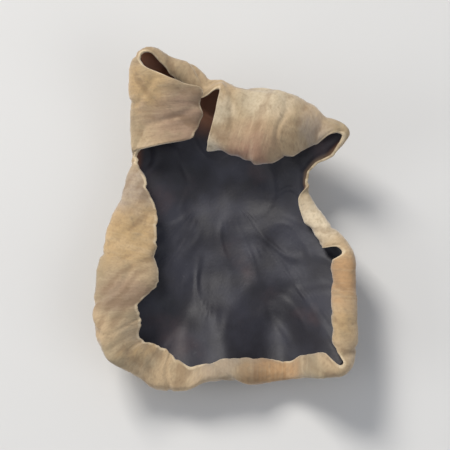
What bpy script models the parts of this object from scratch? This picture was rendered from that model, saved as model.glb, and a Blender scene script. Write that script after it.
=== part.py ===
"""A dried wood ear mushroom, lying on a table with its dark inner face up.

The fruit body is one thin leathery sheet. It grew out from a short stub on its back, and it dried into
a shallow dish. Its lobed margin is rolled in over the dark face all round, so that the tan felted back
shows there: as narrow tubes at the front and the right, as a wide band at the left, as a broad lobe at
the far left, and as a hood at the far side, which is a cone with its open mouth at the left and its
point at the right.

The spine is the closed line round the flat part where the rolling starts. Beyond each station of the
spine the sheet goes on as a flap with a reach of its own, bent along a named roll.

Lengths at the top are in millimetres and angles in degrees. +Y is the far side and +X the right.
"""

import math

import bmesh
import bpy
import numpy as np
from mathutils import Matrix, Vector, noise

MM = 0.001

# How a flap bends up and over, as three bends in turn, each with its radius and its angle.
ROLLS = {
    "tube": ((1.9, 200), (1.6, 78), (1.6, 10)),
    "band": ((2.3, 148), (11, 42), (2.2, 70)),
    "round": ((2.2, 140), (7, 50), (2.2, 60)),
    "lobe": ((2.6, 138), (10.5, 58), (2.6, 60)),
    "slack": ((3.4, 44), (14, 25), (12, 10)),
    "mouth": ((3.7, 150), (15, 42), (2.6, 90)),
    "hood": ((2.6, 150), (8, 45), (2.2, 85)),
    "point": ((1.4, 150), (3.5, 45), (1.4, 80)),
}

# The spine's stations, anticlockwise from the front right corner: place, the way that the flap faces,
# the flap's reach and its roll.
STATIONS = (
    (19.7, 1.8, -45, 5.6, "tube"),
    (19.8, 2.4, -4, 6.3, "tube"),
    (19.9, 5.8, 0, 9.0, "tube"),
    (20.0, 12.0, 2, 9.1, "tube"),
    (19.5, 20.2, 1, 8.8, "tube"),
    (19.2, 21.6, 6, 5.2, "tube"),
    (18.6, 22.8, 24, 5.2, "tube"),
    (17.7, 24.3, 33, 8.8, "tube"),
    (14.2, 29.6, 34, 9.0, "tube"),
    (12.6, 32.4, 26, 6.4, "tube"),
    (12.2, 34.2, 12, 3.0, "slack"),
    (12.8, 37.4, -12, 2.4, "slack"),
    (15.6, 39.9, -42, 2.2, "slack"),
    (19.2, 41.6, -40, 3.2, "point"),
    (20.4, 42.7, 12, 3.9, "point"),
    (19.5, 43.7, 66, 6.0, "point"),
    (17.6, 44.6, 68, 8.6, "point"),
    (14.0, 45.9, 69, 16.0, "hood"),
    (7.0, 48.2, 70, 24.4, "mouth"),
    (-1.4, 50.6, 71, 25.0, "mouth"),
    (-2.6, 51.0, 71, 8.0, "mouth"),
    (-5.2, 52.4, 66, 7.4, "tube"),
    (-9.0, 55.8, 58, 8.2, "tube"),
    (-13.4, 58.8, 80, 6.0, "tube"),
    (-15.2, 58.4, 150, 5.2, "lobe"),
    (-15.6, 56.6, 174, 10.0, "lobe"),
    (-15.5, 53.0, 179, 18.8, "lobe"),
    (-15.3, 47.0, 182, 19.4, "lobe"),
    (-15.1, 42.8, 182, 16.5, "lobe"),
    (-15.1, 41.0, 180, 6.0, "lobe"),
    (-15.5, 38.4, 166, 6.0, "band"),
    (-16.2, 36.4, 162, 9.0, "band"),
    (-20.9, 25.0, 161, 15.8, "band"),
    (-23.2, 12.5, 180, 14.5, "band"),
    (-20.8, 4.2, 214, 12.0, "round"),
    (-13.6, 0.4, 255, 11.5, "round"),
    (-8.4, 0.3, 276, 8.0, "round"),
    (-6.0, 0.9, 274, 7.4, "tube"),
    (-4.0, 1.4, 272, 9.0, "tube"),
    (8.0, 1.0, 268, 9.1, "tube"),
    (15.6, 1.4, 270, 9.0, "tube"),
    (19.1, 1.6, 274, 6.3, "tube"),
)
CORNER_ROUNDING = 0.7

# Where a spine row holds the reach, the first of its three radii and the first of its three turns.
REACH = 4
FIRST_RADIUS = 5
FIRST_TURN = 8

# How the rolls swell and narrow along the margin: the size of that, and its share of their size.
SWELL_SIZE = 8.0
SWELL_SHARE = 0.3

# How unevenly the margin ends, as sizes across and heights, and the reach at which that is full.
RIPPLES = ((6.5, 1.9), (2.6, 0.4))
RIPPLED_REACH = 8.0

FACE_THICKNESS = 1.0
MARGIN_THICKNESS = 0.85
EDGE_TAPER = 1.0
EDGE_SHARE = 0.38

# The dish: how much it rises with the square of the distance from the stub, and its twist.
DISH_ACROSS = 0.0105
DISH_ALONG = 0.0075
DISH_TWIST = 0.0025

# Two low waves of the front margin, on which it stands.
WAVE_HEIGHT = 2.2
WAVE_SPACING = 20.0
WAVE_END = 18.0
WAVE_RAMP = 10.8

# The stub that joined it to the wood, cut off flat at the table, and the pleats that gather into it.
STUB_CENTRE = (-2.4, 35.5)
STUB_LENGTH = 3.9
STUB_RADIUS = 2.6
STUB_FLARE = 7.0
STUB_WAIST = 3.0
PLEAT_DEPTH = 0.5
PLEAT_COUNT = 11
PLEAT_DRIFT = 1.7
PLEAT_START = 5.0
PLEAT_END = 12.0
PLEAT_FADE = 14.0
PIT_DEPTH = 0.9
PIT_RADIUS = 4.0

# Slow buckles, given as their size across and their height, the share of it that goes sideways, and
# where in the noise each of the three directions is read.
BUCKLES = ((17.0, 1.7), (7.5, 0.6))
SIDEWAYS_SHARE = 0.6
LIFT_SHIFT = Vector((3.1, 7.7, 1.3))
X_SHIFT = Vector((11.9, 2.3, 5.1))
Y_SHIFT = Vector((6.4, 13.8, 9.2))

# How the sheet leans as it rests: its far side is up, and its right side a little.
LEAN_BACK = 15.0
LEAN_SIDE = -4.7

DIRECTIONS = 300
REACH_CROWDING = 0.6
INNER_RINGS = 26
OUTER_RINGS = 28
SOLID_TRIANGLES = 9500

# The two materials, each a colour and a roughness, and their places on the solid.
DARK_FACE = ((0.022, 0.022, 0.026), 0.5)
TAN_BACK = ((0.42, 0.30, 0.15), 0.85)
FACE_SLOT = 0
BACK_SLOT = 1


def smooth(value):
    """0 below 0, 1 above 1, and an even ramp with soft ends in between."""
    ramp = np.clip(value, 0.0, 1.0)
    return ramp * ramp * (3.0 - 2.0 * ramp)


def station_row(station):
    """One station as a row of numbers: place, facing as a vector, reach, then the roll's bends."""
    x, y, facing, reach, roll = station
    angle = math.radians(facing)
    radii = [bend[0] for bend in ROLLS[roll]]
    turns = [math.radians(bend[1]) for bend in ROLLS[roll]]
    return [x, y, math.cos(angle), math.sin(angle), reach, *radii, *turns]


def spine():
    """The stations' rows spread along the closed spine, closer together where the reach changes."""
    rows = np.array([station_row(station) for station in STATIONS])
    rows = np.concatenate([rows, rows[:1]])
    change = np.diff(rows, axis=0)
    steps = np.sqrt(change[:, 0] ** 2 + change[:, 1] ** 2 + (REACH_CROWDING * change[:, REACH]) ** 2)
    travel = np.concatenate([[0.0], np.cumsum(steps)])
    at = np.arange(DIRECTIONS) * travel[-1] / DIRECTIONS
    spread = np.stack([np.interp(at, travel, column) for column in rows.T], axis=1)
    offset = (np.arange(DIRECTIONS) + DIRECTIONS // 2) % DIRECTIONS - DIRECTIONS // 2
    weight = np.exp(-((offset * travel[-1] / DIRECTIONS / CORNER_ROUNDING) ** 2))
    weight /= weight.sum()
    soft = np.fft.ifft(np.fft.fft(spread, axis=0) * np.fft.fft(weight)[:, None], axis=0).real
    soft[:, 2:4] /= np.linalg.norm(soft[:, 2:4], axis=1, keepdims=True)
    for row in soft:
        here = Vector((row[0], row[1], 0.0))
        row[REACH:FIRST_TURN] *= 1.0 + SWELL_SHARE * noise.noise(here / SWELL_SIZE)
        uneven = sum(height * noise.noise(here / size) for size, height in RIPPLES)
        row[REACH] += uneven * min(1.0, row[REACH] / RIPPLED_REACH)
    return soft


def rolled(stations, travel):
    """How far out and up a point gets that lies this far beyond the spine, and the slope there."""
    out = np.zeros_like(travel)
    up = np.zeros_like(travel)
    heading = np.zeros_like(travel)
    left = travel
    for bend in range(3):
        radius = stations[:, FIRST_RADIUS + bend]
        turn = stations[:, FIRST_TURN + bend]
        along = np.minimum(left, radius * turn)
        after = heading + along / radius
        out = out + radius * (np.sin(after) - np.sin(heading))
        up = up + radius * (np.cos(heading) - np.cos(after))
        heading = after
        left = left - along
    return out + left * np.cos(heading), up + left * np.sin(heading), heading


def middle_sheet():
    """The middle surface as rings of points, the way each looks, and its distances in the flat sheet."""
    stations = spine()
    centre = np.array(STUB_CENTRE)
    place = stations[:, :2]
    share = (np.arange(INNER_RINGS + 1) / INNER_RINGS)[:, None]
    inner = centre + share[..., None] * (place - centre)
    from_stub = share * np.linalg.norm(place - centre, axis=1)
    flap = (np.arange(1, OUTER_RINGS + 1) / OUTER_RINGS)[:, None]
    travel = flap * stations[:, REACH]
    out, up, heading = rolled(stations, travel)
    facing = stations[:, 2:4]
    outer = np.dstack([place + out[..., None] * facing, up])
    points = np.concatenate([np.dstack([inner, np.zeros_like(from_stub)]), outer])
    outer_looks = np.dstack([-np.sin(heading)[..., None] * facing, np.cos(heading)])
    looks = np.concatenate([np.broadcast_to([0.0, 0.0, 1.0], inner.shape[:2] + (3,)), outer_looks])
    from_stub = np.concatenate([from_stub, from_stub[-1] + travel])
    to_margin = from_stub[-1] - from_stub
    return points, looks, from_stub, to_margin


def dished(points):
    """Raises the sheet towards its margin, twists it and adds its slow buckles."""
    x = points[..., 0] - STUB_CENTRE[0]
    y = points[..., 1] - STUB_CENTRE[1]
    moved = points.copy()
    moved[..., 2] += DISH_ACROSS * x**2 + DISH_ALONG * y**2 + DISH_TWIST * x * y
    front = smooth((WAVE_END - points[..., 1]) / WAVE_RAMP)
    moved[..., 2] += WAVE_HEIGHT * front * np.cos(2.0 * math.pi * x / WAVE_SPACING)
    for row in moved.reshape(-1, 3):
        here = Vector(row)
        for size, height in BUCKLES:
            row[2] += height * noise.noise(here / size + LIFT_SHIFT)
            row[0] += SIDEWAYS_SHARE * height * noise.noise(here / size + X_SHIFT)
            row[1] += SIDEWAYS_SHARE * height * noise.noise(here / size + Y_SHIFT)
    return moved


def stub_depth(points, from_stub):
    """How far the stub and the pleats that run into it stand out of the back."""
    bearing = np.arctan2(points[..., 1] - STUB_CENTRE[1], points[..., 0] - STUB_CENTRE[0])
    beyond = from_stub - STUB_RADIUS
    flare = (1.0 - smooth(beyond / STUB_FLARE)) ** STUB_WAIST
    gather = smooth(beyond / PLEAT_START) * (1.0 - smooth((from_stub - PLEAT_END) / PLEAT_FADE))
    wave = np.cos(bearing * PLEAT_COUNT + PLEAT_DRIFT * np.sin(bearing * 2.0))
    return STUB_LENGTH * flare + PLEAT_DEPTH * gather * (1.0 + wave)


def sheet_sides():
    """The dark face's points and the back's, as rings by directions, set down at rest."""
    middle, looks, from_stub, to_margin = middle_sheet()
    share = from_stub / (from_stub + to_margin)
    thickness = FACE_THICKNESS + (MARGIN_THICKNESS - FACE_THICKNESS) * share
    thickness = thickness * (1.0 - EDGE_SHARE * smooth(1.0 - to_margin / EDGE_TAPER))
    half = 0.5 * thickness[..., None]
    face = dished(middle + looks * half)
    back = dished(middle - looks * half)
    face[..., 2] -= PIT_DEPTH * np.exp(-((from_stub / PIT_RADIUS) ** 2))
    back[..., 2] -= stub_depth(middle, from_stub)
    return set_down(np.stack([face, back]), from_stub)


def set_down(layers, from_stub):
    """Leans the sheet as it rests and puts its lowest rim on the table, with the stub reaching below it."""
    lean = Matrix.Rotation(math.radians(LEAN_SIDE), 3, "Y") @ Matrix.Rotation(math.radians(LEAN_BACK), 3, "X")
    layers = layers @ np.array(lean).T
    clear_of_stub = from_stub > STUB_RADIUS + STUB_FLARE
    layers[..., 2] -= layers[:, clear_of_stub][..., 2].min()
    corners = layers.reshape(-1, 3)
    middle = 0.5 * (corners.min(axis=0) + corners.max(axis=0))
    layers[..., 0] -= middle[0]
    layers[..., 1] -= middle[1]
    return layers[0], layers[1]


def add_side(mesh, points, faces_up, material_index):
    """Adds one side of the sheet and returns its outermost ring of vertices."""
    pole = mesh.verts.new(points[0].mean(axis=0) * MM)
    rings = [[mesh.verts.new(point * MM) for point in ring] for ring in points[1:]]
    faces = []
    for here in range(DIRECTIONS):
        after = (here + 1) % DIRECTIONS
        faces.append([pole, rings[0][here], rings[0][after]])
        for inner, outer in zip(rings, rings[1:]):
            faces.append([inner[here], outer[here], outer[after], inner[after]])
    for corners in faces:
        face = mesh.faces.new(corners if faces_up else corners[::-1])
        face.material_index = material_index
        face.smooth = True
    return rings[-1]


def thin_out(mesh):
    """Gives the surface fewer faces, most of them where it bends."""
    data = bpy.data.meshes.new("whole_sheet")
    mesh.to_mesh(data)
    whole = bpy.data.objects.new("whole_sheet", data)
    bpy.context.scene.collection.objects.link(whole)
    fewer = whole.modifiers.new("fewer_faces", "DECIMATE")
    fewer.ratio = SOLID_TRIANGLES / (4 * DIRECTIONS * (INNER_RINGS + OUTER_RINGS))
    thinned = whole.evaluated_get(bpy.context.evaluated_depsgraph_get())
    mesh.clear()
    mesh.from_mesh(thinned.to_mesh())
    thinned.to_mesh_clear()
    bpy.data.objects.remove(whole)


def cut_stub(mesh):
    """Cuts off flat what reaches below the table, which is the end of the stub."""
    whole = [*mesh.verts, *mesh.edges, *mesh.faces]
    cut = bmesh.ops.bisect_plane(mesh, geom=whole, plane_no=(0, 0, 1), clear_inner=True)
    ring = [part for part in cut["geom_cut"] if isinstance(part, bmesh.types.BMEdge)]
    filled = bmesh.ops.contextual_create(mesh, geom=ring)["faces"]
    bmesh.ops.triangulate(mesh, faces=filled)


def material(name, colour, roughness):
    """A plain material with this colour."""
    made = bpy.data.materials.new(name)
    made.use_nodes = True
    surface = made.node_tree.nodes["Principled BSDF"]
    surface.inputs["Base Color"].default_value = (*colour, 1.0)
    surface.inputs["Roughness"].default_value = roughness
    return made


def fruit_body():
    """The whole mushroom as one closed solid."""
    face, back = sheet_sides()
    mesh = bmesh.new()
    face_edge = add_side(mesh, face, True, FACE_SLOT)
    back_edge = add_side(mesh, back, False, BACK_SLOT)
    for here in range(DIRECTIONS):
        after = (here + 1) % DIRECTIONS
        rim = mesh.faces.new([face_edge[here], back_edge[here], back_edge[after], face_edge[after]])
        rim.material_index = BACK_SLOT
        rim.smooth = True
    thin_out(mesh)
    cut_stub(mesh)
    data = bpy.data.meshes.new("fruit_body")
    mesh.to_mesh(data)
    mesh.free()
    data.materials.append(material("dark_face", *DARK_FACE))
    data.materials.append(material("tan_back", *TAN_BACK))
    body = bpy.data.objects.new("fruit_body", data)
    bpy.context.scene.collection.objects.link(body)
    return body


def main():
    """Clears the file and builds the mushroom."""
    for old in list(bpy.data.objects):
        bpy.data.objects.remove(old)
    fruit_body()


main()
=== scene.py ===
"""The looks of a dried wood ear mushroom, lying on a pale table with its dark inner face up.

The visible fruit body is made from the same spine, rolls and dish as the solid, at a finer spacing, and
it adds the wrinkles, folds and frayed margin that drying gives. Lengths in the classes of the fruit body
are in millimetres and angles in degrees. +Y is the far side and +X the right.
"""

import logging
import math
from dataclasses import dataclass, field
from enum import Enum, IntEnum
from typing import Any, NamedTuple

import bmesh
import bpy
import numpy as np
from mathutils import Matrix, Vector, noise


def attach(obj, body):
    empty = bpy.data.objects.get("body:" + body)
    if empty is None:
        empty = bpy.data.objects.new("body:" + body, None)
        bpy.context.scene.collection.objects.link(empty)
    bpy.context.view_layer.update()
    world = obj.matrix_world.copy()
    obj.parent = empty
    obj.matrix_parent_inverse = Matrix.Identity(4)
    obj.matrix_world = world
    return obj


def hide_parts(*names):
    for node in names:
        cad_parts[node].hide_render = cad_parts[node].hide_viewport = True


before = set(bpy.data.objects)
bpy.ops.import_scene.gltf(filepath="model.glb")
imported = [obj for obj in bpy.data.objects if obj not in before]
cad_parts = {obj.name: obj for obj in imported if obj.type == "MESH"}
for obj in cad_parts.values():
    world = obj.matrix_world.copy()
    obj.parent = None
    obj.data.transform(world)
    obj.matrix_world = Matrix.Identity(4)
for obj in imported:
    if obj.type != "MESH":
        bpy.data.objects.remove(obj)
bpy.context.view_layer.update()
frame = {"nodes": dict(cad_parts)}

Array = np.ndarray
Socket = bpy.types.NodeSocket
Pair = tuple[float, float]
Triple = tuple[float, float, float]
Colour = tuple[float, float, float]

LOG = logging.getLogger("wood_ear")
NODE = "fruit_body"
MM = 0.001

# How far apart in the noise one pattern is from the next.
PATTERN_STEP = (1.7, 9.2, 4.1)

# Where a station's row holds its place, the way it faces, its reach, and its bends' radii and angles.
PLACE = slice(0, 2)
FACING = slice(2, 4)
REACH = 4
RADII = slice(5, 8)
TURNS = slice(8, 11)
REACH_AND_RADII = slice(4, 8)

# A Mix node's sockets for colours come after those for numbers and vectors.
MIX_SHARE = 0
MIX_FIRST = 6
MIX_SECOND = 7
MIX_RESULT = 2

# The middle of a noise's range, and the share of a colour patch's radius that has its full strength.
NOISE_MIDDLE = 0.5
PATCH_CORE = 0.3


def smooth(value: Array) -> Array:
    """An even ramp with soft ends, 0 below 0 and 1 above 1.

    Args:
        value: the numbers to put on the ramp.

    Returns:
        One number from 0 to 1 for each.
    """
    ramp = np.clip(value, 0.0, 1.0)
    return ramp * ramp * (3.0 - 2.0 * ramp)


def noise_at(places: Array, size: float, pattern: int) -> Array:
    """Smooth noise, mostly between -0.5 and 0.5.

    Args:
        places: points, as an array whose last axis is x, y, z.
        size: how far apart the bumps are, in the points' unit.
        pattern: which of many unlike patterns to use.

    Returns:
        One number for each point.
    """
    shift = pattern * np.array(PATTERN_STEP)
    rows = (places.reshape(-1, 3) / size + shift).tolist()
    return np.array([noise.noise(row) for row in rows]).reshape(places.shape[:-1])


def creases_at(places: Array, size: float, width: float, pattern: int) -> Array:
    """A net of thin crease lines.

    Args:
        places: points, as an array whose last axis is x, y, z.
        size: how far apart the creases are, in the points' unit.
        width: how wide a crease is, as a share of the noise's range.
        pattern: which of many unlike patterns to use.

    Returns:
        1 on a crease and 0 away from it, for each point.
    """
    return 1.0 - smooth(np.abs(noise_at(places, size, pattern)) / width)


class Roll(Enum):
    """How a flap bends up and over: three bends in turn, each a radius and an angle."""

    TUBE = ((1.9, 200), (1.6, 78), (1.6, 10))
    BAND = ((2.3, 148), (11, 42), (2.2, 70))
    ROUND = ((2.2, 140), (7, 50), (2.2, 60))
    LOBE = ((2.6, 138), (10.5, 58), (2.6, 60))
    SLACK = ((3.4, 44), (14, 25), (12, 10))
    MOUTH = ((3.7, 150), (15, 42), (2.6, 90))
    HOOD = ((2.6, 150), (8, 45), (2.2, 85))
    POINT = ((1.4, 150), (3.5, 45), (1.4, 80))


class Station(NamedTuple):
    """One place on the spine, the way its flap faces, the flap's reach and its roll."""

    x: float
    y: float
    facing: float
    reach: float
    roll: Roll

    def row(self) -> list[float]:
        """The station as numbers.

        Returns:
            The place, the facing as a vector, the reach, the bends' radii and their angles.
        """
        angle = math.radians(self.facing)
        radii = [radius for radius, _ in self.roll.value]
        turns = [math.radians(turn) for _, turn in self.roll.value]
        return [self.x, self.y, math.cos(angle), math.sin(angle), self.reach, *radii, *turns]


# Anticlockwise from the front right corner.
STATIONS = (
    Station(19.7, 1.8, -45, 5.6, Roll.TUBE),
    Station(19.8, 2.4, -4, 6.3, Roll.TUBE),
    Station(19.9, 5.8, 0, 9.0, Roll.TUBE),
    Station(20.0, 12.0, 2, 9.1, Roll.TUBE),
    Station(19.5, 20.2, 1, 8.8, Roll.TUBE),
    Station(19.2, 21.6, 6, 5.2, Roll.TUBE),
    Station(18.6, 22.8, 24, 5.2, Roll.TUBE),
    Station(17.7, 24.3, 33, 8.8, Roll.TUBE),
    Station(14.2, 29.6, 34, 9.0, Roll.TUBE),
    Station(12.6, 32.4, 26, 6.4, Roll.TUBE),
    Station(12.2, 34.2, 12, 3.0, Roll.SLACK),
    Station(12.8, 37.4, -12, 2.4, Roll.SLACK),
    Station(15.6, 39.9, -42, 2.2, Roll.SLACK),
    Station(19.2, 41.6, -40, 3.2, Roll.POINT),
    Station(20.4, 42.7, 12, 3.9, Roll.POINT),
    Station(19.5, 43.7, 66, 6.0, Roll.POINT),
    Station(17.6, 44.6, 68, 8.6, Roll.POINT),
    Station(14.0, 45.9, 69, 16.0, Roll.HOOD),
    Station(7.0, 48.2, 70, 24.4, Roll.MOUTH),
    Station(-1.4, 50.6, 71, 25.0, Roll.MOUTH),
    Station(-2.6, 51.0, 71, 8.0, Roll.MOUTH),
    Station(-5.2, 52.4, 66, 7.4, Roll.TUBE),
    Station(-9.0, 55.8, 58, 8.2, Roll.TUBE),
    Station(-13.4, 58.8, 80, 6.0, Roll.TUBE),
    Station(-15.2, 58.4, 150, 5.2, Roll.LOBE),
    Station(-15.6, 56.6, 174, 10.0, Roll.LOBE),
    Station(-15.5, 53.0, 179, 18.8, Roll.LOBE),
    Station(-15.3, 47.0, 182, 19.4, Roll.LOBE),
    Station(-15.1, 42.8, 182, 16.5, Roll.LOBE),
    Station(-15.1, 41.0, 180, 6.0, Roll.LOBE),
    Station(-15.5, 38.4, 166, 6.0, Roll.BAND),
    Station(-16.2, 36.4, 162, 9.0, Roll.BAND),
    Station(-20.9, 25.0, 161, 15.8, Roll.BAND),
    Station(-23.2, 12.5, 180, 14.5, Roll.BAND),
    Station(-20.8, 4.2, 214, 12.0, Roll.ROUND),
    Station(-13.6, 0.4, 255, 11.5, Roll.ROUND),
    Station(-8.4, 0.3, 276, 8.0, Roll.ROUND),
    Station(-6.0, 0.9, 274, 7.4, Roll.TUBE),
    Station(-4.0, 1.4, 272, 9.0, Roll.TUBE),
    Station(8.0, 1.0, 268, 9.1, Roll.TUBE),
    Station(15.6, 1.4, 270, 9.0, Roll.TUBE),
    Station(19.1, 1.6, 274, 6.3, Roll.TUBE),
)


@dataclass(frozen=True)
class Spine:
    """The closed line round the flat part where the rolling starts.

    ripples are changes of the flaps' reach: how far apart they are, and how large.
    """

    stations: tuple[Station, ...] = STATIONS
    directions: int = 640
    corner_rounding: float = 0.7
    reach_crowding: float = 0.6
    swell_size: float = 8.0
    swell_share: float = 0.3
    ripples: tuple[Pair, ...] = ((6.5, 1.9), (2.6, 0.4))
    rippled_reach: float = 8.0
    nick_spacing: float = 1.3
    nick_depth: float = 0.7
    relief_room: float = 0.45

    def rows(self) -> Array:
        """The stations' rows spread along the spine, closer together where the reach changes.

        Returns:
            One row for each direction, in the order of a station's row.
        """
        rows = np.array([station.row() for station in self.stations])
        rows = np.concatenate([rows, rows[:1]])
        change = np.diff(rows, axis=0)
        crowding = self.reach_crowding * change[:, REACH]
        steps = np.sqrt((change[:, PLACE] ** 2).sum(axis=1) + crowding**2)
        travel = np.concatenate([[0.0], np.cumsum(steps)])
        at = np.arange(self.directions) * travel[-1] / self.directions
        spread = np.stack([np.interp(at, travel, column) for column in rows.T], axis=1)
        soft = self.rounded(spread, travel[-1])
        for row in soft:
            here = Vector((*row[PLACE], 0.0))
            row[REACH_AND_RADII] *= 1.0 + self.swell_share * noise.noise(here / self.swell_size)
            uneven = sum(height * noise.noise(here / size) for size, height in self.ripples)
            nicked = self.nick_depth * max(0.0, noise.noise(here / self.nick_spacing))
            shorter = self.relief_room + nicked
            row[REACH] += (uneven - shorter) * min(1.0, row[REACH] / self.rippled_reach)
        return soft

    def rounded(self, spread: Array, length: float) -> Array:
        """Rounds the corners between stations.

        Args:
            spread: one row for each direction.
            length: the spine's whole length.

        Returns:
            The softened rows, with facings of length 1 again.
        """
        count = self.directions
        offset = (np.arange(count) + count // 2) % count - count // 2
        weight = np.exp(-((offset * length / count / self.corner_rounding) ** 2))
        weight /= weight.sum()
        soft = np.fft.ifft(np.fft.fft(spread, axis=0) * np.fft.fft(weight)[:, None], axis=0).real
        soft[:, FACING] /= np.linalg.norm(soft[:, FACING], axis=1, keepdims=True)
        return soft


@dataclass
class Sheet:
    """Points of the sheet's middle surface, in rings from the stub to the margin, and what is known there.

    points and looks are the places and the way the dark face looks, ahead is the way towards the margin,
    flat is the place in the sheet laid flat, and around runs evenly along the margin. from_stub and
    to_margin are distances in the sheet laid flat, and heading is how far the roll has turned.
    """

    points: Array
    looks: Array
    ahead: Array
    flat: Array
    around: Array
    from_stub: Array
    to_margin: Array
    heading: Array


@dataclass(frozen=True)
class Stub:
    """The stub that joined the ear to the wood, with its pit in the face and the pleats that run to it."""

    centre: Pair = (-2.4, 35.5)
    length: float = 3.9
    radius: float = 2.6
    flare: float = 7.0
    waist: float = 3.0
    pleat_depth: float = 0.5
    pleat_count: int = 11
    pleat_drift: float = 1.7
    pleat_start: float = 5.0
    pleat_end: float = 12.0
    pleat_fade: float = 14.0
    pit_depth: float = 0.9
    pit_radius: float = 4.0

    def clear(self, from_stub: Array) -> Array:
        """Whether each point is beyond the stub's foot."""
        return from_stub > self.radius + self.flare

    def depth(self, sheet: Sheet) -> Array:
        """The stub and its pleats.

        Args:
            sheet: the middle surface.

        Returns:
            How far they stand out of the back at each point.
        """
        x = sheet.points[..., 0] - self.centre[0]
        y = sheet.points[..., 1] - self.centre[1]
        bearing = np.arctan2(y, x)
        beyond = sheet.from_stub - self.radius
        flare = (1.0 - smooth(beyond / self.flare)) ** self.waist
        faded = smooth((sheet.from_stub - self.pleat_end) / self.pleat_fade)
        gather = smooth(beyond / self.pleat_start) * (1.0 - faded)
        wave = np.cos(bearing * self.pleat_count + self.pleat_drift * np.sin(bearing * 2.0))
        return self.length * flare + self.pleat_depth * gather * (1.0 + wave)

    def pit(self, sheet: Sheet) -> Array:
        """How deep the dark face sinks over the stub at each point."""
        return self.pit_depth * np.exp(-((sheet.from_stub / self.pit_radius) ** 2))


@dataclass(frozen=True)
class Dish:
    """The sheet's slow bends: its rise with the square of the distance, the front's waves, the buckles.

    buckles are low lumps: how far apart they are, and how high.
    """

    middle: Pair = (-2.4, 35.5)
    across: float = 0.0105
    along: float = 0.0075
    twist: float = 0.0025
    wave_height: float = 2.2
    wave_spacing: float = 20.0
    wave_end: float = 18.0
    wave_ramp: float = 0.6
    buckles: tuple[Pair, ...] = ((17.0, 1.7), (7.5, 0.6))
    side_share: float = 0.6
    lift_shift: Triple = (3.1, 7.7, 1.3)
    x_shift: Triple = (11.9, 2.3, 5.1)
    y_shift: Triple = (6.4, 13.8, 9.2)

    def bent(self, points: Array) -> Array:
        """Bends the sheet.

        Args:
            points: any points of the sheet.

        Returns:
            The points with the slow bends in them.
        """
        x = points[..., 0] - self.middle[0]
        y = points[..., 1] - self.middle[1]
        moved = points.copy()
        moved[..., 2] += self.across * x**2 + self.along * y**2 + self.twist * x * y
        front = smooth((self.wave_end - points[..., 1]) / (self.wave_ramp * self.wave_end))
        moved[..., 2] += self.wave_height * front * np.cos(2.0 * math.pi * x / self.wave_spacing)
        shifts = (self.lift_shift, self.x_shift, self.y_shift)
        lift, sideways, onward = (Vector(shift) for shift in shifts)
        for row in moved.reshape(-1, 3):
            here = Vector(row)
            for size, height in self.buckles:
                row[2] += height * noise.noise(here / size + lift)
                row[0] += self.side_share * height * noise.noise(here / size + sideways)
                row[1] += self.side_share * height * noise.noise(here / size + onward)
        return moved


class Pattern(IntEnum):
    """Which of the noise's patterns each part of the fine relief uses; the crumples take two."""

    CRUMPLE = 1
    FOLD = 5
    CREASE = 6
    FRILL = 7
    VEIN = 9
    RIB = 11
    FIBRE = 13
    NAP = 15
    WRINKLE = 17


@dataclass(frozen=True)
class Relief:
    """The fine relief of the dried sheet, which the solid leaves out.

    crumples are smaller lumps: how far apart they are, and how high.
    """

    crumples: tuple[Pair, ...] = ((9.0, 0.6), (3.8, 0.3))
    fold_spacing: float = 12.0
    fold_width: float = 0.22
    fold_height: float = 0.13
    crease_spacing: float = 11.0
    crease_width: float = 0.10
    crease_height: float = 0.32
    fold_start: float = 5.0
    fold_ramp: float = 12.0
    frill_spacing: float = 2.6
    frill_height: float = 0.5
    frill_reach: float = 2.2
    vein_spacing: float = 7.5
    vein_width: float = 0.12
    vein_height: float = 0.16
    rib_spacing: float = 2.1
    rib_height: float = 0.15
    fibre_spacing: float = 0.8
    fibre_height: float = 0.05
    nap_spacing: float = 0.6
    nap_height: float = 0.06
    wrinkle_stretch: Triple = (0.2, 0.2, 7.0)
    wrinkle_spacing: float = 1.7
    wrinkle_height: float = 0.17
    wrinkle_start: float = 10.0
    wrinkle_ramp: float = 8.0

    def both_sides(self, sheet: Sheet) -> Array:
        """Crumples, long folds, creases and the margin's frill.

        Args:
            sheet: the middle surface.

        Returns:
            How far the whole sheet moves towards its face at each point.
        """
        moved = np.zeros_like(sheet.from_stub)
        for pattern, (size, height) in enumerate(self.crumples, start=Pattern.CRUMPLE):
            moved += height * noise_at(sheet.flat, size, pattern)
        clear_of_stub = smooth((sheet.from_stub - self.fold_start) / self.fold_ramp)
        folds = creases_at(sheet.around, self.fold_spacing, self.fold_width, Pattern.FOLD)
        moved += self.fold_height * clear_of_stub * folds
        creases = creases_at(sheet.flat, self.crease_spacing, self.crease_width, Pattern.CREASE)
        moved += self.crease_height * clear_of_stub * creases
        near_margin = 1.0 - smooth(sheet.to_margin / self.frill_reach)
        frill = noise_at(sheet.around, self.frill_spacing, Pattern.FRILL)
        moved += self.frill_height * near_margin * frill
        return moved

    def face(self, sheet: Sheet) -> Array:
        """How far the face stands up at each point: low soft veins."""
        veins = creases_at(sheet.flat, self.vein_spacing, self.vein_width, Pattern.VEIN)
        return self.vein_height * veins

    def back(self, sheet: Sheet) -> Array:
        """Ribs and fibres that run outwards, the felt's nap, and wrinkles along the margin.

        Args:
            sheet: the middle surface.

        Returns:
            How far the back stands out at each point.
        """
        ribs = self.rib_height * noise_at(sheet.around, self.rib_spacing, Pattern.RIB)
        fibres = self.fibre_height * noise_at(sheet.around, self.fibre_spacing, Pattern.FIBRE)
        nap = self.nap_height * noise_at(sheet.flat, self.nap_spacing, Pattern.NAP)
        clear_of_stub = smooth((sheet.from_stub - self.wrinkle_start) / self.wrinkle_ramp)
        along_margin = sheet.around * np.array(self.wrinkle_stretch)
        wrinkles = self.wrinkle_height * noise_at(along_margin, self.wrinkle_spacing, Pattern.WRINKLE)
        return ribs + fibres + nap + clear_of_stub * wrinkles


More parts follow.
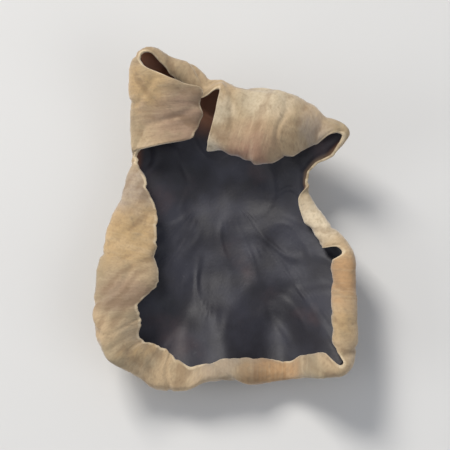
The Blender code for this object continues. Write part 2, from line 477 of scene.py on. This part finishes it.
class Ramp(NamedTuple):
    """A soft ramp for a finish: where it starts, where it ends, and how much it gives at its end."""

    start: float
    end: float
    strength: float = 1.0


class Grain(NamedTuple):
    """Noise for a finish: how far apart its spots are in millimetres, and how many finer layers it has."""

    size: float
    detail: float


class ColourPatch(NamedTuple):
    """A soft patch of another colour, used for the sheet's own tones and on the back also for painted
    highlights and painted shade: its middle in the flat sheet, its radius, colour and strength.
    """

    centre: Pair
    radius: float
    colour: Colour
    strength: float


class Value:
    """A shader socket that takes part in Python expressions.

    Args:
        painter: the painter whose material new nodes go into.
        socket: the output socket that gives the value.
    """

    def __init__(self, painter: "Painter", socket: Socket) -> None:
        """Keeps the painter and the socket."""
        self.painter = painter
        self.socket = socket

    def _math(self, operation: str, first: "Value | float", second: "Value | float") -> "Value":
        """A Math node on two values."""
        node = self.painter.add("ShaderNodeMath", {"operation": operation}, {0: first, 1: second})
        return Value(self.painter, node.outputs[0])

    def __add__(self, other: "Value | float") -> "Value":
        """This value plus another."""
        return self._math("ADD", self, other)

    def __radd__(self, other: float) -> "Value":
        """A number plus this value."""
        return self._math("ADD", other, self)

    def __sub__(self, other: "Value | float") -> "Value":
        """This value less another."""
        return self._math("SUBTRACT", self, other)

    def __rsub__(self, other: float) -> "Value":
        """A number less this value."""
        return self._math("SUBTRACT", other, self)

    def __mul__(self, other: "Value | float") -> "Value":
        """This value times another."""
        return self._math("MULTIPLY", self, other)

    def __rmul__(self, other: float) -> "Value":
        """A number times this value."""
        return self._math("MULTIPLY", other, self)

    def rise(self, ramp: Ramp) -> "Value":
        """Puts the value on a ramp.

        Args:
            ramp: the ramp.

        Returns:
            0 before the ramp's start and the ramp's strength after its end.
        """
        settings = {"interpolation_type": "SMOOTHSTEP"}
        sockets = {"Value": self, "From Min": ramp.start, "From Max": ramp.end, "To Max": ramp.strength}
        node = self.painter.add("ShaderNodeMapRange", settings, sockets)
        return Value(self.painter, node.outputs["Result"])

    def fall(self, ramp: Ramp) -> "Value":
        """The ramp turned over: its strength before its start and 0 after its end."""
        return ramp.strength - self.rise(ramp)


class Painter:
    """Makes one material and adds its nodes.

    Args:
        name: the material's name.
    """

    def __init__(self, name: str) -> None:
        """Makes the material."""
        self.material = bpy.data.materials.new(name)
        self.material.use_nodes = True
        self.tree = self.material.node_tree
        self.surface = self.tree.nodes["Principled BSDF"]

    def add(self, kind: str, settings: dict[str, Any], sockets: dict[str | int, Any]) -> bpy.types.Node:
        """Adds a node.

        Args:
            kind: the node's type.
            settings: its settings, which are set first.
            sockets: the value or link of each input socket.

        Returns:
            The new node.
        """
        node = self.tree.nodes.new(kind)
        for name, value in settings.items():
            setattr(node, name, value)
        for name, value in sockets.items():
            self.feed(node.inputs[name], value)
        return node

    def feed(self, socket: Socket, value: Any) -> None:
        """Links a value to a socket, or sets a plain number, vector or colour on it.

        Args:
            socket: the input socket.
            value: a Value, an output socket, or what the socket itself holds.
        """
        if isinstance(value, Value):
            self.tree.links.new(value.socket, socket)
        elif isinstance(value, Socket):
            self.tree.links.new(value, socket)
        elif isinstance(value, tuple) and socket.type == "RGBA":
            socket.default_value = (*value, 1.0)
        else:
            socket.default_value = value

    def vector(self, name: str) -> Socket:
        """The mesh's own vector of this name."""
        return self.add("ShaderNodeAttribute", {"attribute_name": name}, {}).outputs["Vector"]

    def number(self, name: str) -> Value:
        """The mesh's own number of this name."""
        node = self.add("ShaderNodeAttribute", {"attribute_name": name}, {})
        return Value(self, node.outputs["Fac"])

    def cloud(self, places: Socket, grain: Grain) -> bpy.types.Node:
        """A node that gives noise.

        Args:
            places: where, in millimetres.
            grain: the noise's spots.

        Returns:
            The node.
        """
        sockets = {"Vector": places, "Scale": 1.0 / grain.size, "Detail": grain.detail}
        return self.add("ShaderNodeTexNoise", {}, sockets)

    def noise(self, places: Socket, grain: Grain) -> Value:
        """Noise from 0 to 1."""
        return Value(self, self.cloud(places, grain).outputs["Fac"])

    def vector_math(self, operation: str, *terms: Any) -> bpy.types.Node:
        """A Vector Math node on these terms."""
        return self.add("ShaderNodeVectorMath", {"operation": operation}, dict(enumerate(terms)))

    def warped(self, places: Socket, grain: Grain, reach: float) -> Socket:
        """Places moved about by noise, which gives spots uneven edges.

        Args:
            places: where, in millimetres.
            grain: the noise's spots.
            reach: the most that a place moves, in millimetres.

        Returns:
            The moved places.
        """
        noisy = self.cloud(places, grain).outputs["Color"]
        centred = self.vector_math("SUBTRACT", noisy, (NOISE_MIDDLE,) * 3).outputs[0]
        return self.vector_math("MULTIPLY_ADD", centred, (2.0 * reach,) * 3, places).outputs[0]

    def mix(self, share: Value | float, first: Colour | Socket, second: Colour | Socket) -> Socket:
        """The first colour, or the second where the share is 1.

        Args:
            share: how much of the second shows.
            first: a colour or a colour's socket.
            second: a colour or a colour's socket.

        Returns:
            The mixed colour's socket.
        """
        sockets = {MIX_SHARE: share, MIX_FIRST: first, MIX_SECOND: second}
        return self.add("ShaderNodeMix", {"data_type": "RGBA"}, sockets).outputs[MIX_RESULT]

    def patched(self, colour: Socket, places: Socket, colour_patches: tuple[ColourPatch, ...]) -> Socket:
        """A colour with soft round patches on it, each over the ones before: the sheet's own tones, and on
        the back also painted highlights and painted shade.

        Args:
            colour: the colour's socket.
            places: where, in millimetres.
            colour_patches: the patches.

        Returns:
            The patched colour's socket.
        """
        for colour_patch in colour_patches:
            distance = self.vector_math("DISTANCE", places, (*colour_patch.centre, 0.0)).outputs["Value"]
            spot = Ramp(PATCH_CORE * colour_patch.radius, colour_patch.radius, colour_patch.strength)
            colour = self.mix(Value(self, distance).fall(spot), colour, colour_patch.colour)
        return colour

    def finish(self, sockets: dict[str, Any], height: Value, relief: float) -> bpy.types.Material:
        """Sets the surface.

        Args:
            sockets: the value or link of each socket of the shader.
            height: the fine relief, as a share of its full height.
            relief: the full height, in millimetres.

        Returns:
            The finished material.
        """
        bump = self.add("ShaderNodeBump", {}, {"Height": height, "Distance": relief * MM})
        for name, value in {**sockets, "Normal": bump.outputs["Normal"]}.items():
            self.feed(self.surface.inputs[name], value)
        return self.material


GOLD: Colour = (0.47, 0.305, 0.135)
AMBER: Colour = (0.41, 0.215, 0.085)
ROSE: Colour = (0.30, 0.190, 0.135)
# Russet: also painted shade on the hood.
RUSSET: Colour = (0.27, 0.145, 0.095)
# Cream: also painted highlights on the back.
CREAM: Colour = (0.68, 0.58, 0.42)
ASH: Colour = (0.34, 0.275, 0.225)
LIVER: Colour = (0.34, 0.15, 0.08)


@dataclass(frozen=True)
class FaceFinish:
    """The smooth dark inner face: satin slate black, plum where it is thin, brown in its rolls."""

    slate: Colour = (0.030, 0.030, 0.041)
    black: Colour = (0.016, 0.015, 0.020)
    plum: Colour = (0.062, 0.040, 0.043)
    dust: Colour = (0.13, 0.125, 0.13)
    rim: Colour = (0.13, 0.078, 0.040)
    colour_patches: tuple[ColourPatch, ...] = (
        ColourPatch((-3.5, 55.0), 13.0, LIVER, 0.95),
        ColourPatch((-16.0, 61.0), 9.0, LIVER, 0.95),
    )
    patch_edge: Grain = Grain(5.0, 3.0)
    patch_edge_reach: float = 2.0
    clouds: Grain = Grain(8.0, 3.0)
    patches: Grain = Grain(13.0, 4.0)
    grain: Grain = Grain(0.5, 3.0)
    specks: Grain = Grain(0.9, 2.0)
    slate_clouds: Ramp = Ramp(0.36, 0.66)
    plum_patches: Ramp = Ramp(0.52, 0.72, 0.7)
    dust_specks: Ramp = Ramp(0.6, 0.8, 0.25)
    dusty_clouds: Ramp = Ramp(0.45, 0.7)
    rolled_in: Ramp = Ramp(0.5, 2.2)
    near_margin: Ramp = Ramp(0.0, 1.4, 0.8)
    roughness: float = 0.52
    cloud_roughness: float = 0.22
    grain_gloss: float = 0.1
    specular: float = 0.4
    grain_relief: float = 0.6
    speck_relief: float = 0.4
    relief: float = 0.05

    def material(self) -> bpy.types.Material:
        """Paints the face.

        Returns:
            The face's material.
        """
        paint = Painter("dark_face")
        flat = paint.vector("flat")
        clouds = paint.noise(flat, self.clouds)
        patches = paint.noise(flat, self.patches)
        grain = paint.noise(flat, self.grain)
        specks = paint.noise(flat, self.specks)
        dusty = specks.rise(self.dust_specks) * clouds.rise(self.dusty_clouds)
        colour = paint.mix(clouds.rise(self.slate_clouds), self.black, self.slate)
        colour = paint.mix(patches.rise(self.plum_patches), colour, self.plum)
        colour = paint.mix(dusty, colour, self.dust)
        colour = paint.mix(paint.number("heading").rise(self.rolled_in), colour, LIVER)
        uneven = paint.warped(flat, self.patch_edge, self.patch_edge_reach)
        colour = paint.patched(colour, uneven, self.colour_patches)
        colour = paint.mix(paint.number("to_margin").fall(self.near_margin), colour, self.rim)
        sockets = {
            "Base Color": colour,
            "Roughness": self.roughness + self.cloud_roughness * clouds - self.grain_gloss * grain,
            "Specular IOR Level": self.specular,
        }
        return paint.finish(sockets, grain * self.grain_relief + specks * self.speck_relief, self.relief)


@dataclass(frozen=True)
class BackFinish:
    """The felted tan back: straw with olive clouds and warmer patches, painted highlights on the tops of the
    hood and the right rim, painted shade low on the hood, faint fibres, painted shade in the creases and
    darker brown towards the stub.
    """

    straw: Colour = (0.42, 0.305, 0.18)
    olive: Colour = (0.30, 0.232, 0.14)
    fibre: Colour = (0.58, 0.45, 0.285)
    # Painted shade in the back's creases, and the darker brown towards the stub.
    crease: Colour = (0.17, 0.10, 0.048)
    edge: Colour = (0.62, 0.50, 0.33)
    shade: Colour = (0.20, 0.135, 0.078)
    # The sheet's own tones, with painted highlights and painted shade among them.
    colour_patches: tuple[ColourPatch, ...] = (
        # Pinkish brown, darkened as painted shade, low on the hood.
        ColourPatch((12.5, 70.0), 11.0, RUSSET, 0.8),
        ColourPatch((5.0, 72.5), 7.0, CREAM, 0.95),
        # Painted highlight on the hood's upper face.
        ColourPatch((2.5, 63.0), 3.5, CREAM, 0.5),
        # Painted shade: a dark reddish brown fold just right of the hood's lower left corner.
        ColourPatch((9.5, 69.8), 4.4, RUSSET, 0.85),
        # Painted highlight along the top of the hood's roll.
        ColourPatch((9.0, 55.5), 8.0, CREAM, 0.5),
        ColourPatch((20.0, 52.0), 5.0, ASH, 0.6),
        ColourPatch((-24.0, 53.0), 8.0, GOLD, 0.6),
        ColourPatch((-31.0, 47.0), 9.0, ROSE, 0.7),
        ColourPatch((-24.0, 36.0), 7.0, ASH, 0.6),
        ColourPatch((-29.0, 28.0), 9.0, GOLD, 0.65),
        ColourPatch((-34.0, 15.0), 8.0, ROSE, 0.5),
        ColourPatch((-26.0, -6.0), 8.0, GOLD, 0.5),
        ColourPatch((-3.0, -5.0), 6.0, ASH, 0.4),
        ColourPatch((7.0, -5.0), 8.0, AMBER, 0.6),
        ColourPatch((25.0, 17.0), 8.0, AMBER, 0.6),
        ColourPatch((26.0, 9.0), 5.0, GOLD, 0.5),
        # Painted highlight on the top of the right rim's upper segment.
        ColourPatch((20.5, 31.0), 6.5, CREAM, 0.75),
    )
    patch_edge: Grain = Grain(5.0, 3.0)
    patch_edge_reach: float = 4.0
    clouds: Grain = Grain(10.0, 4.0)
    mottle: Grain = Grain(2.2, 4.0)
    streaks: Grain = Grain(1.6, 3.0)
    fibres: Grain = Grain(0.42, 3.0)
    felt: Grain = Grain(0.5, 4.0)
    tufts: Grain = Grain(1.1, 5.0)
    olive_clouds: Ramp = Ramp(0.40, 0.64)
    olive_mottle: Ramp = Ramp(0.52, 0.75, 0.4)
    pale_streaks: Ramp = Ramp(0.48, 0.75, 0.3)
    pale_fibres: Ramp = Ramp(0.5, 0.75, 0.22)
    dark_felt: Ramp = Ramp(0.42, 0.68, 0.22)
    dark_tufts: Ramp = Ramp(0.55, 0.72, 0.3)
    # Painted shade where the back's relief sinks into a crease.
    painted_crease_shade: Ramp = Ramp(-0.14, 0.0, 0.4)
    near_stub: Ramp = Ramp(3.0, 17.0, 0.35)
    at_margin: Ramp = Ramp(0.0, 0.4, 0.8)
    margin_streaks: Ramp = Ramp(0.3, 0.6)
    roughness: float = 0.82
    felt_roughness: float = 0.12
    specular: float = 0.25
    sheen: float = 0.4
    sheen_roughness: float = 0.5
    fibre_relief: float = 0.35
    felt_relief: float = 0.35
    tuft_relief: float = 0.3
    relief: float = 0.16

    def material(self) -> bpy.types.Material:
        """Paints the back.

        Returns:
            The back's material.
        """
        paint = Painter("tan_felt")
        flat = paint.vector("flat")
        around = paint.vector("around")
        streaks = paint.noise(around, self.streaks)
        fibres = paint.noise(around, self.fibres)
        felt = paint.noise(flat, self.felt)
        tufts = paint.noise(flat, self.tufts)
        low = paint.number("relief").fall(self.painted_crease_shade)
        near_stub = paint.number("from_stub").fall(self.near_stub)
        at_margin = paint.number("to_margin").fall(self.at_margin)
        clouds = paint.noise(flat, self.clouds).rise(self.olive_clouds)
        uneven = paint.warped(flat, self.patch_edge, self.patch_edge_reach)
        colour = paint.patched(paint.mix(clouds, self.straw, self.olive), uneven, self.colour_patches)
        layers = (
            (paint.noise(flat, self.mottle).rise(self.olive_mottle), self.olive),
            (streaks.rise(self.pale_streaks), self.fibre),
            (fibres.rise(self.pale_fibres), self.fibre),
            (felt.rise(self.dark_felt), self.shade),
            (tufts.rise(self.dark_tufts), self.shade),
            # Painted shade in the creases, where the relief is low, and the darker brown near the stub.
            (low + near_stub, self.crease),
            (at_margin * streaks.rise(self.margin_streaks), self.edge),
        )
        for share, shown in layers:
            colour = paint.mix(share, colour, shown)
        sockets = {
            "Base Color": colour,
            "Roughness": self.roughness + self.felt_roughness * felt,
            "Specular IOR Level": self.specular,
            "Sheen Weight": self.sheen,
            "Sheen Roughness": self.sheen_roughness,
        }
        height = fibres * self.fibre_relief + felt * self.felt_relief + tufts * self.tuft_relief
        return paint.finish(sockets, height, self.relief)


@dataclass(frozen=True)
class CutFinish:
    """The cut end of the stub: pale fibres with darker bark at its rim."""

    pith: Colour = (0.40, 0.28, 0.16)
    bark: Colour = (0.12, 0.072, 0.038)
    fibres: Grain = Grain(0.7, 4.0)
    bark_fibres: Ramp = Ramp(0.4, 0.65)
    rim: Ramp = Ramp(2.0, 4.2, 0.7)
    roughness: float = 0.9
    specular: float = 0.2
    relief: float = 0.12

    def material(self) -> bpy.types.Material:
        """Paints the cut.

        Returns:
            The cut's material.
        """
        paint = Painter("cut_stub")
        fibres = paint.noise(paint.vector("flat"), self.fibres)
        colour = paint.mix(fibres.rise(self.bark_fibres), self.pith, self.bark)
        colour = paint.mix(paint.number("from_stub").rise(self.rim), colour, self.bark)
        sockets = {"Base Color": colour, "Roughness": self.roughness, "Specular IOR Level": self.specular}
        return paint.finish(sockets, fibres, self.relief)


class Side(Enum):
    """The sides of the sheet, as places of their materials on the mesh."""

    FACE = 0
    BACK = 1
    CUT = 2


@dataclass(frozen=True)
class FruitBody:
    """The whole mushroom: one thin rolled sheet with its cut stub."""

    spine: Spine = field(default_factory=Spine)
    stub: Stub = field(default_factory=Stub)
    dish: Dish = field(default_factory=Dish)
    relief: Relief = field(default_factory=Relief)
    inner_rings: int = 36
    outer_rings: int = 34
    lip_rings: int = 2
    face_thickness: float = 1.0
    margin_thickness: float = 0.85
    edge_taper: float = 1.0
    edge_share: float = 0.38
    lean_back: float = 15.0
    lean_side: float = -4.7
    streak_stretch: float = 7.0
    resting_gap: float = 0.01

    def rolled(self, rows: Array, travel: Array) -> tuple[Array, Array, Array]:
        """Follows a flap along its roll.

        Args:
            rows: the spine's rows.
            travel: how far beyond the spine each point lies in the flat sheet.

        Returns:
            How far out and how far up each point gets, and the slope there.
        """
        out = np.zeros_like(travel)
        up = np.zeros_like(travel)
        heading = np.zeros_like(travel)
        left = travel
        for radius, turn in zip(rows[:, RADII].T, rows[:, TURNS].T):
            along = np.minimum(left, radius * turn)
            after = heading + along / radius
            out = out + radius * (np.sin(after) - np.sin(heading))
            up = up + radius * (np.cos(heading) - np.cos(after))
            heading = after
            left = left - along
        return out + left * np.cos(heading), up + left * np.sin(heading), heading

    def sheet(self) -> Sheet:
        """Lays out the flat part and rolls the flaps in.

        Returns:
            The middle surface, before its slow bends.
        """
        rows = self.spine.rows()
        centre = np.array(self.stub.centre)
        place = rows[:, PLACE]
        facing = rows[:, FACING]
        radial = place - centre
        share = (np.arange(self.inner_rings + 1) / self.inner_rings)[:, None]
        inner = np.dstack([centre + share[..., None] * radial, np.zeros((len(share), len(rows)))])
        inner_stub = share * np.linalg.norm(radial, axis=1)
        travel = (np.arange(1, self.outer_rings + 1) / self.outer_rings)[:, None] * rows[:, REACH]
        out, up, heading = self.rolled(rows, travel)
        outer = np.dstack([place + out[..., None] * facing, up])
        sine = np.sin(heading)[..., None]
        cosine = np.cos(heading)[..., None]
        looks = np.dstack([-sine * facing, cosine])
        ahead = np.dstack([cosine * facing, sine])
        unrolled = np.dstack([place + travel[..., None] * facing, np.zeros_like(travel)])
        upright = np.broadcast_to([0.0, 0.0, 1.0], inner.shape)
        outward = radial / np.linalg.norm(radial, axis=1, keepdims=True)
        level = np.broadcast_to(np.column_stack([outward, np.zeros(len(rows))]), inner.shape)
        from_stub = np.concatenate([inner_stub, inner_stub[-1] + travel])
        return Sheet(
            points=np.concatenate([inner, outer]),
            looks=np.concatenate([upright, looks]),
            ahead=np.concatenate([level, ahead]),
            flat=np.concatenate([inner, unrolled]),
            around=self.streaks(rows, from_stub),
            from_stub=from_stub,
            to_margin=from_stub[-1] - from_stub,
            heading=np.concatenate([np.zeros_like(inner_stub), heading]),
        )

    def streaks(self, rows: Array, from_stub: Array) -> Array:
        """Places in which noise draws out into streaks from the stub to the margin.

        Args:
            rows: the spine's rows.
            from_stub: each point's distance from the stub.

        Returns:
            A place for each point, on a cylinder as long round as the spine.
        """
        steps = np.linalg.norm(np.roll(rows[:, PLACE], -1, axis=0) - rows[:, PLACE], axis=1)
        travel = np.concatenate([[0.0], np.cumsum(steps)[:-1]])
        radius = steps.sum() / (2.0 * math.pi)
        turn = travel / radius
        shape = from_stub.shape
        x = np.broadcast_to(radius * np.cos(turn), shape)
        y = np.broadcast_to(radius * np.sin(turn), shape)
        return np.dstack([x, y, from_stub / self.streak_stretch])

    def sides(self, sheet: Sheet) -> tuple[Array, Array, Array]:
        """The rings of the dark face and of the back.

        Args:
            sheet: the middle surface.

        Returns:
            The face's points, the back's points, and the back's relief for its colour.
        """
        share = sheet.from_stub / (sheet.from_stub + sheet.to_margin)
        thickness = self.face_thickness + (self.margin_thickness - self.face_thickness) * share
        thickness = thickness * (1.0 - self.edge_share * smooth(1.0 - sheet.to_margin / self.edge_taper))
        half = 0.5 * thickness
        together = self.relief.both_sides(sheet)
        back_relief = self.relief.back(sheet)
        face = sheet.points + sheet.looks * (half + together + self.relief.face(sheet))[..., None]
        back = sheet.points - sheet.looks * (half - together + back_relief)[..., None]
        face, back = self.with_lip(sheet, face, back)
        plain = [sheet.points + sheet.looks * side * half[..., None] for side in (1.0, -1.0)]
        offset = self.resting_place(sheet, plain)
        face = self.dish.bent(face)
        back = self.dish.bent(back)
        rings = slice(0, len(sheet.from_stub))
        face[rings, :, 2] -= self.stub.pit(sheet)
        back[rings, :, 2] -= self.stub.depth(sheet)
        return self.leant(face) - offset, self.leant(back) - offset, back_relief

    def with_lip(self, sheet: Sheet, face: Array, back: Array) -> tuple[Array, Array]:
        """Rounds the free edge with a few more rings on each side.

        Args:
            sheet: the middle surface.
            face: the face's rings.
            back: the back's rings.

        Returns:
            The face's rings and the back's rings with the lip's.
        """
        middle = 0.5 * (face[-1] + back[-1])
        half = 0.5 * (face[-1] - back[-1])
        depth = np.linalg.norm(half, axis=1, keepdims=True) * sheet.ahead[-1]
        turns = [0.5 * math.pi * ring / (self.lip_rings + 1) for ring in range(1, self.lip_rings + 1)]
        over = [middle + half * math.cos(turn) + depth * math.sin(turn) for turn in turns]
        under = [middle - half * math.cos(turn) + depth * math.sin(turn) for turn in turns]
        return np.concatenate([face, np.stack(over)]), np.concatenate([back, np.stack(under)])

    def leant(self, points: Array) -> Array:
        """Leans the sheet as the ear leans at rest.

        Args:
            points: any points of the sheet.

        Returns:
            The turned points.
        """
        side = Matrix.Rotation(math.radians(self.lean_side), 3, "Y")
        back = Matrix.Rotation(math.radians(self.lean_back), 3, "X")
        return points @ np.array(side @ back).T

    def resting_place(self, sheet: Sheet, plain: list[Array]) -> Array:
        """What to take off every point so that the ear rests on the table, centred.

        Args:
            sheet: the middle surface.
            plain: both sides without their fine relief, before the slow bends.

        Returns:
            The offset, as x, y and z.
        """
        face, back = (self.dish.bent(side) for side in plain)
        face[..., 2] -= self.stub.pit(sheet)
        back[..., 2] -= self.stub.depth(sheet)
        layers = self.leant(np.stack([face, back]))
        corners = layers.reshape(-1, 3)
        middle = 0.5 * (corners.min(axis=0) + corners.max(axis=0))
        lowest = layers[:, self.stub.clear(sheet.from_stub)][..., 2].min()
        return np.array([middle[0], middle[1], lowest])

    def onto_lip(self, values: Array) -> Array:
        """The values of each ring, with the outermost ring's repeated for the lip."""
        return np.concatenate([values, np.repeat(values[-1:], self.lip_rings, axis=0)])

    def add_side(
        self, mesh: bmesh.types.BMesh, rings: Array, facts: dict[str, Array], side: Side
    ) -> list[bmesh.types.BMVert]:
        """Adds one side of the sheet.

        Args:
            mesh: the mesh under construction.
            rings: the side's points.
            facts: what each point keeps for its material, by name.
            side: which side it is.

        Returns:
            The outermost ring of vertices.
        """
        layers = {
            name: mesh.verts.layers.float_vector[name] if values.ndim == 3 else mesh.verts.layers.float[name]
            for name, values in facts.items()
        }
        made = []
        for ring, points in enumerate(rings):
            made.append([])
            for here, point in enumerate(points if ring else points[:1]):
                vertex = mesh.verts.new(point * MM)
                for name, values in facts.items():
                    vertex[layers[name]] = values[ring, here]
                made[-1].append(vertex)
        lip = len(rings) - self.lip_rings - 1
        count = self.spine.directions
        for here in range(count):
            after = (here + 1) % count
            quads = [[made[0][0], made[1][here], made[1][after]]]
            for inner, outer in zip(made[1:], made[2:]):
                quads.append([inner[here], outer[here], outer[after], inner[after]])
            for ring, corners in enumerate(quads):
                surface = mesh.faces.new(corners if side is Side.FACE else corners[::-1])
                surface.material_index = Side.BACK.value if ring >= lip else side.value
                surface.smooth = True
        return made[-1]

    def cut_stub(self, mesh: bmesh.types.BMesh) -> None:
        """Cuts off flat what reaches below the table, which is the end of the stub.

        Args:
            mesh: the closed mesh.
        """
        whole = [*mesh.verts, *mesh.edges, *mesh.faces]
        cut = bmesh.ops.bisect_plane(mesh, geom=whole, plane_no=(0, 0, 1), clear_inner=True)
        ring = [part for part in cut["geom_cut"] if isinstance(part, bmesh.types.BMEdge)]
        filled = bmesh.ops.contextual_create(mesh, geom=ring)["faces"]
        for surface in filled:
            surface.material_index = Side.CUT.value
            surface.smooth = False
        bmesh.ops.triangulate(mesh, faces=filled)

    def facts(self, sheet: Sheet, relief: Array) -> dict[str, Array]:
        """What each point keeps for its material, also on the lip.

        Args:
            sheet: the middle surface.
            relief: how far the back stands out at each point.

        Returns:
            The values by name.
        """
        known = {
            "flat": sheet.flat,
            "around": sheet.around,
            "from_stub": sheet.from_stub,
            "to_margin": sheet.to_margin,
            "heading": sheet.heading,
            "relief": relief,
        }
        return {name: self.onto_lip(values) for name, values in known.items()}

    def mesh(self) -> bpy.types.Mesh:
        """Joins the face, the back and the lip between them, and cuts the stub.

        Returns:
            The mushroom's whole closed mesh.
        """
        sheet = self.sheet()
        face, back, relief = self.sides(sheet)
        clear = self.stub.clear(self.onto_lip(sheet.from_stub))
        for side in (face, back):
            above_table = np.maximum(side[..., 2], self.resting_gap)
            side[..., 2] = np.where(clear, above_table, side[..., 2])
        LOG.info("sheet: %d rings of %d points on each side", len(face), self.spine.directions)
        facts = self.facts(sheet, relief)
        mesh = bmesh.new()
        for name, values in facts.items():
            layers = mesh.verts.layers.float_vector if values.ndim == 3 else mesh.verts.layers.float
            layers.new(name)
        face_edge = self.add_side(mesh, face, facts, Side.FACE)
        back_edge = self.add_side(mesh, back, facts, Side.BACK)
        for here in range(self.spine.directions):
            after = (here + 1) % self.spine.directions
            rim = mesh.faces.new([face_edge[here], back_edge[here], back_edge[after], face_edge[after]])
            rim.material_index = Side.BACK.value
            rim.smooth = True
        self.cut_stub(mesh)
        data = bpy.data.meshes.new("wood_ear")
        mesh.to_mesh(data)
        mesh.free()
        return data

    def build(self) -> bpy.types.Object:
        """Makes the mushroom, dresses it and puts it in the frame.

        Returns:
            The mushroom.
        """
        data = self.mesh()
        for finish in (FaceFinish(), BackFinish(), CutFinish()):
            data.materials.append(finish.material())
        body = bpy.data.objects.new("wood_ear", data)
        bpy.context.scene.collection.objects.link(body)
        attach(body, "root")
        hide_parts(NODE)
        LOG.info("%s: %d faces", body.name, len(data.polygons))
        return body


@dataclass(frozen=True)
class Lamp:
    """One soft square light."""

    name: str
    place: Triple
    size: float
    power: float
    colour: Colour = (1.0, 1.0, 1.0)


@dataclass(frozen=True)
class Studio:
    """The plain pale floor, the soft lights and the camera, in metres and degrees."""

    floor_size: float = 4.0
    floor_colour: Colour = (0.60, 0.595, 0.58)
    floor_roughness: float = 0.9
    sky_colour: Colour = (0.86, 0.90, 1.0)
    sky_strength: float = 0.38
    lamps: tuple[Lamp, ...] = (
        Lamp("key_light", (-0.34, 0.42, 0.62), 0.30, 6.4, (1.0, 0.97, 0.93)),
        Lamp("fill_light", (0.55, -0.45, 0.55), 0.6, 2.0, (0.93, 0.96, 1.0)),
        Lamp("side_light", (-0.7, -0.2, 0.35), 0.4, 1.6),
    )
    camera_azimuth: float = 0.0
    camera_elevation: float = 72.0
    camera_distance: float = 0.46
    camera_lens: float = 200.0
    aim: Triple = (0.0, 0.0, 0.007)

    def add_floor(self) -> None:
        """A pale floor under the mushroom."""
        half = 0.5 * self.floor_size
        corners = [(-half, -half, 0.0), (half, -half, 0.0), (half, half, 0.0), (-half, half, 0.0)]
        data = bpy.data.meshes.new("floor")
        data.from_pydata(corners, [], [(0, 1, 2, 3)])
        paint = Painter("floor_paper")
        paint.feed(paint.surface.inputs["Base Color"], self.floor_colour)
        paint.feed(paint.surface.inputs["Roughness"], self.floor_roughness)
        data.materials.append(paint.material)
        floor = bpy.data.objects.new("floor", data)
        bpy.context.scene.collection.objects.link(floor)

    def add_sky(self) -> None:
        """Even pale light from all round."""
        world = bpy.data.worlds.new("studio")
        world.use_nodes = True
        background = world.node_tree.nodes["Background"]
        background.inputs["Color"].default_value = (*self.sky_colour, 1.0)
        background.inputs["Strength"].default_value = self.sky_strength
        bpy.context.scene.world = world

    def add_lamp(self, lamp: Lamp) -> None:
        """Adds one soft light, aimed at the mushroom.

        Args:
            lamp: the light.
        """
        data = bpy.data.lights.new(lamp.name, "AREA")
        data.shape = "SQUARE"
        data.size = lamp.size
        data.energy = lamp.power
        data.color = lamp.colour
        light = bpy.data.objects.new(lamp.name, data)
        light.location = lamp.place
        ray = Vector(self.aim) - Vector(lamp.place)
        light.rotation_euler = ray.to_track_quat("-Z", "Y").to_euler()
        bpy.context.scene.collection.objects.link(light)

    def add_camera(self) -> None:
        """The camera, looking down on the mushroom as the photograph does."""
        azimuth = math.radians(self.camera_azimuth)
        elevation = math.radians(self.camera_elevation)
        level = math.cos(elevation)
        back = Vector((math.sin(azimuth) * level, -math.cos(azimuth) * level, math.sin(elevation)))
        data = bpy.data.cameras.new("camera")
        data.lens = self.camera_lens
        camera = bpy.data.objects.new("camera", data)
        camera.location = Vector(self.aim) + back * self.camera_distance
        camera.rotation_euler = (-back).to_track_quat("-Z", "Y").to_euler()
        bpy.context.scene.collection.objects.link(camera)
        bpy.context.scene.camera = camera

    def build(self) -> None:
        """Sets up everything round the mushroom."""
        self.add_floor()
        self.add_sky()
        for lamp in self.lamps:
            self.add_lamp(lamp)
        self.add_camera()
        bpy.context.scene.view_settings.view_transform = "Standard"
        LOG.info("studio: floor, sky, %d lights and camera", len(self.lamps))


def main() -> None:
    """Builds the studio and the mushroom."""
    logging.basicConfig(level=logging.INFO, format="%(name)s: %(message)s")
    LOG.info("solid nodes: %s", ", ".join(frame["nodes"]))
    Studio().build()
    FruitBody().build()
    bpy.context.view_layer.update()


if __name__ == "__main__":
    main()
